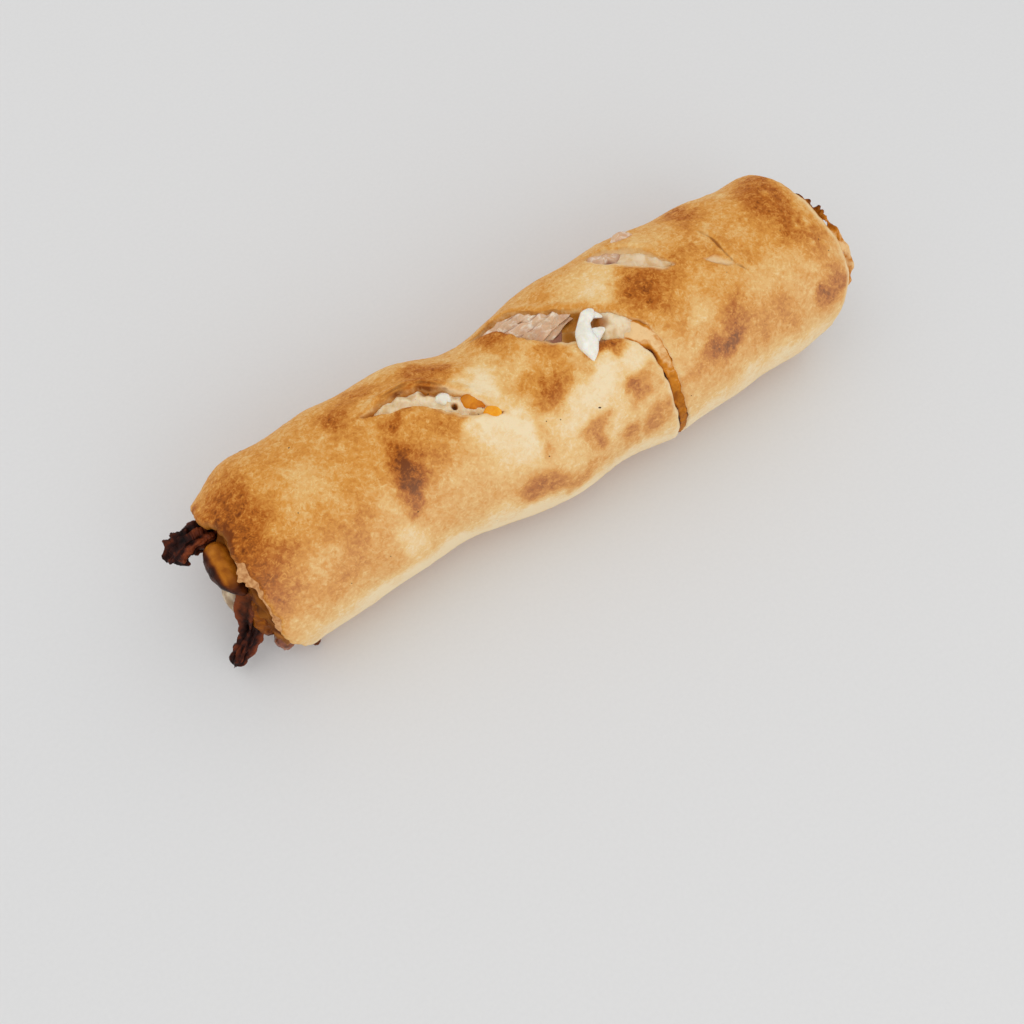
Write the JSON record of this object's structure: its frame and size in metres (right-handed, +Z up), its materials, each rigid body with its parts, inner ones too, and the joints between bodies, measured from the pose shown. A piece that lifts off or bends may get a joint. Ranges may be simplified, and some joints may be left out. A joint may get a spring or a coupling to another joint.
{
  "type": "stromboli",
  "caption": "Baked stromboli lying flat: a golden dough roll over meat and cheese, with slits in its top, a browned split down its front, a charred near end and a crisp far end.",
  "frame": {"origin": "middle of the whole object's box, on the surface that it lies on", "axes": "+X along the roll from its charred near end to its crisp far end, +Y to its back, +Z up"},
  "size_m": [0.2754, 0.0768, 0.061],
  "materials": {
    "crust": "baked dough, cream to golden with brown toasted patches",
    "meat": "cooked sliced meat, grey pink and fibrous",
    "cheese": "melted pale cheese, soft sheen",
    "white_cheese": "melted white cheese, smooth and a little glossy",
    "orange_cheese": "melted orange cheese, a little glossy",
    "browned_cheese": "browned cheese, orange to dark brown",
    "charred": "burnt filling, nearly black with red brown ridges",
    "crisp_cheese": "crisp fried cheese, golden to dark brown"
  },
  "bodies": {
    "root": {"dough_roll": "crust", "meat_filling": "meat", "cheese_filling": "cheese", "seam_cheese": "browned_cheese", "cheese_pull": "white_cheese", "orange_cheese_1": "orange_cheese", "orange_cheese_2": "orange_cheese", "cheese_bubble": "browned_cheese", "cheese_spill": "cheese", "charred_strip_upper": "charred", "charred_strip_lower": "charred", "meat_scrap": "meat", "crisp_frill": "crisp_cheese"}
  },
  "joints": []
}
